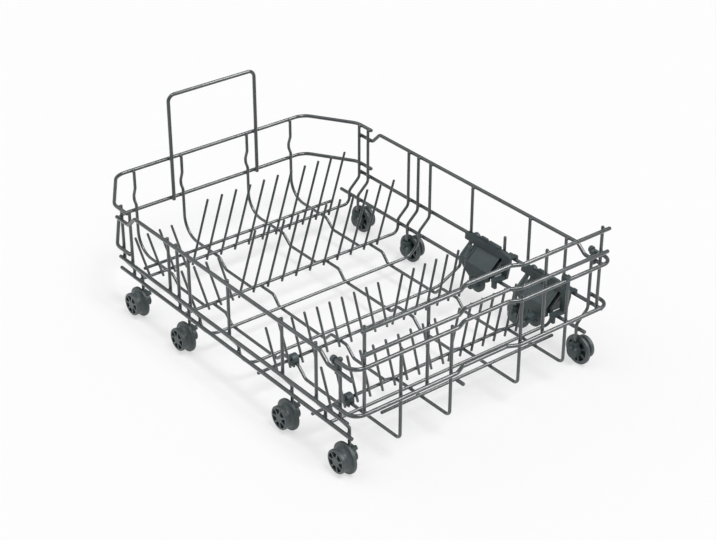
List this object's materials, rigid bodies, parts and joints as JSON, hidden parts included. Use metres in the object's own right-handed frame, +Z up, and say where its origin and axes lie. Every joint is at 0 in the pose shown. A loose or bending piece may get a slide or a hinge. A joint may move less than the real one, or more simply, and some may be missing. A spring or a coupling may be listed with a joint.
{
  "type": "dishwasher basket",
  "caption": "Lower basket of a narrow dishwasher: coated wire frame on rollers, with fixed plate tines, fold-down tine rows and a tall rear loop",
  "frame": {"origin": "bottom centre of the whole basket, on the floor under the rollers", "axes": "+X to the right seen from the front, +Y to the back, +Z up"},
  "size_m": [0.3884, 0.5493, 0.2396],
  "materials": {
    "coated_wire": "satin plastic coating on steel wire",
    "clip_plastic": "moulded, fine matt",
    "wheel_plastic": "moulded, slightly worn satin"
  },
  "bodies": {
    "basket": {"rear_top_rim": "coated_wire", "rear_lower_rim": "coated_wire", "rear_loop": "coated_wire", "long_wire_1": "coated_wire", "long_wire_2": "coated_wire", "long_wire_3": "coated_wire", "long_wire_4": "coated_wire", "hoop_1": "coated_wire", "hoop_2": "coated_wire", "hoop_3": "coated_wire", "hoop_4": "coated_wire", "hoop_5": "coated_wire", "wheel_post_left_1": "coated_wire", "wheel_post_left_2": "coated_wire", "wheel_post_left_3": "coated_wire", "wheel_post_left_4": "coated_wire", "wheel_post_right_1": "coated_wire", "wheel_post_right_2": "coated_wire", "wheel_post_right_3": "coated_wire", "wheel_post_right_4": "coated_wire", "latch_post": "coated_wire", "side_top_wire_left": "coated_wire", "side_top_wire_right": "coated_wire", "side_mid_wire_left": "coated_wire", "side_mid_wire_right": "coated_wire", "lower_rail_left": "coated_wire", "lower_rail_right": "coated_wire", "front_wire_1": "coated_wire", "front_wire_2": "coated_wire", "front_wire_3": "coated_wire", "front_wire_4": "coated_wire", "front_uprights": "coated_wire", "stop_wire": "coated_wire", "stop_peg": "coated_wire", "tine_row_1": "coated_wire", "tine_row_2": "coated_wire", "tine_bar": "coated_wire", "latch_bracket_rear": "clip_plastic", "latch_bracket_front": "clip_plastic", "pivot_clip_rear": "clip_plastic", "pivot_clip_front": "clip_plastic", "corner_clip_left": "clip_plastic", "corner_clip_right": "clip_plastic", "wheel_carriers_left": "clip_plastic", "wheel_carriers_right": "clip_plastic"},
    "fold_row_rear": {"fold_bar_rear": "coated_wire", "fold_tines_rear": "coated_wire"},
    "fold_row_front": {"fold_bar_front": "coated_wire", "fold_tines_front": "coated_wire"},
    "roller_left_1": {"wheel_left_1": "wheel_plastic"},
    "roller_left_2": {"wheel_left_2": "wheel_plastic"},
    "roller_left_3": {"wheel_left_3": "wheel_plastic"},
    "roller_left_4": {"wheel_left_4": "wheel_plastic"},
    "roller_right_1": {"wheel_right_1": "wheel_plastic"},
    "roller_right_2": {"wheel_right_2": "wheel_plastic"},
    "roller_right_3": {"wheel_right_3": "wheel_plastic"},
    "roller_right_4": {"wheel_right_4": "wheel_plastic"}
  },
  "joints": [
    {"name": "fold_row_rear_hinge", "type": "hinge", "parent": "basket", "child": "fold_row_rear", "pos_m": [0, -0.07105, 0.0375], "axis": [-1, 0, 0], "range_deg": [0, 90]},
    {"name": "fold_row_front_hinge", "type": "hinge", "parent": "basket", "child": "fold_row_front", "pos_m": [0, -0.17535, 0.0375], "axis": [-1, 0, 0], "range_deg": [0, 90]},
    {"name": "roller_left_1_spin", "type": "hinge", "parent": "basket", "child": "roller_left_1", "pos_m": [-0.1851, 0.17725, 0.0192], "axis": [1, 0, 0], "continuous": true},
    {"name": "roller_left_2_spin", "type": "hinge", "parent": "basket", "child": "roller_left_2", "pos_m": [-0.1851, 0.07225, 0.0192], "axis": [1, 0, 0], "continuous": true},
    {"name": "roller_left_3_spin", "type": "hinge", "parent": "basket", "child": "roller_left_3", "pos_m": [-0.1851, -0.13775, 0.0192], "axis": [1, 0, 0], "continuous": true},
    {"name": "roller_left_4_spin", "type": "hinge", "parent": "basket", "child": "roller_left_4", "pos_m": [-0.1851, -0.24275, 0.0192], "axis": [1, 0, 0], "continuous": true},
    {"name": "roller_right_1_spin", "type": "hinge", "parent": "basket", "child": "roller_right_1", "pos_m": [0.1801, 0.17725, 0.0192], "axis": [1, 0, 0], "continuous": true},
    {"name": "roller_right_2_spin", "type": "hinge", "parent": "basket", "child": "roller_right_2", "pos_m": [0.1801, 0.07225, 0.0192], "axis": [1, 0, 0], "continuous": true},
    {"name": "roller_right_3_spin", "type": "hinge", "parent": "basket", "child": "roller_right_3", "pos_m": [0.1801, -0.13775, 0.0192], "axis": [1, 0, 0], "continuous": true},
    {"name": "roller_right_4_spin", "type": "hinge", "parent": "basket", "child": "roller_right_4", "pos_m": [0.1801, -0.24275, 0.0192], "axis": [1, 0, 0], "continuous": true}
  ]
}
